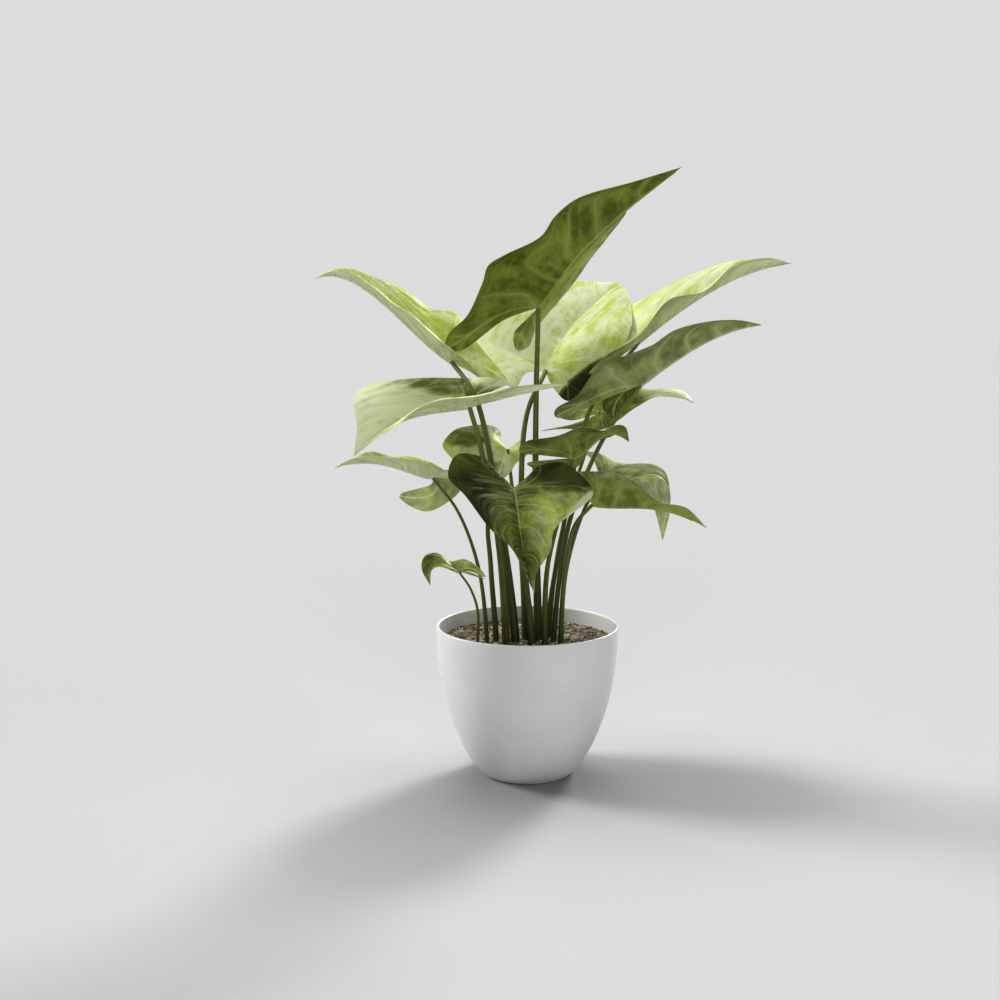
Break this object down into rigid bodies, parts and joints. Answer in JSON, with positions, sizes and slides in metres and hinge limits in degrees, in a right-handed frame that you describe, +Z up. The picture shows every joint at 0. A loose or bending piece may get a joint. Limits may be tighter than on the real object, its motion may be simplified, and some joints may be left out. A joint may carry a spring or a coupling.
{
  "type": "potted dumb cane",
  "caption": "Aroid house plant with large arrow-shaped, variegated leaves on slender stalks, standing in a plain round pot of soil.",
  "frame": {"origin": "centre of the pot's flat underside", "axes": "+Z up, -Y toward the viewer, +X to the viewer's right"},
  "size_m": [0.473, 0.272, 0.5872],
  "materials": {
    "pot": "white, softly glossy",
    "soil": "loose potting soil",
    "stalk": "smooth green plant stem",
    "blade": "satin leaf, green and cream"
  },
  "bodies": {
    "root": {"blade_back": "blade", "blade_back_right": "blade", "blade_front": "blade", "blade_hooked_right": "blade", "blade_inner_left": "blade", "blade_inner_right": "blade", "blade_left": "blade", "blade_lower_left": "blade", "blade_lower_right": "blade", "blade_right": "blade", "blade_small": "blade", "blade_top": "blade", "blade_upper_left": "blade", "blade_upper_right": "blade", "pot": "pot", "soil": "soil", "stalk_back": "stalk", "stalk_back_right": "stalk", "stalk_front": "stalk", "stalk_hooked_right": "stalk", "stalk_inner_left": "stalk", "stalk_inner_right": "stalk", "stalk_left": "stalk", "stalk_lower_left": "stalk", "stalk_lower_right": "stalk", "stalk_right": "stalk", "stalk_small": "stalk", "stalk_top": "stalk", "stalk_upper_left": "stalk", "stalk_upper_right": "stalk"}
  },
  "joints": []
}
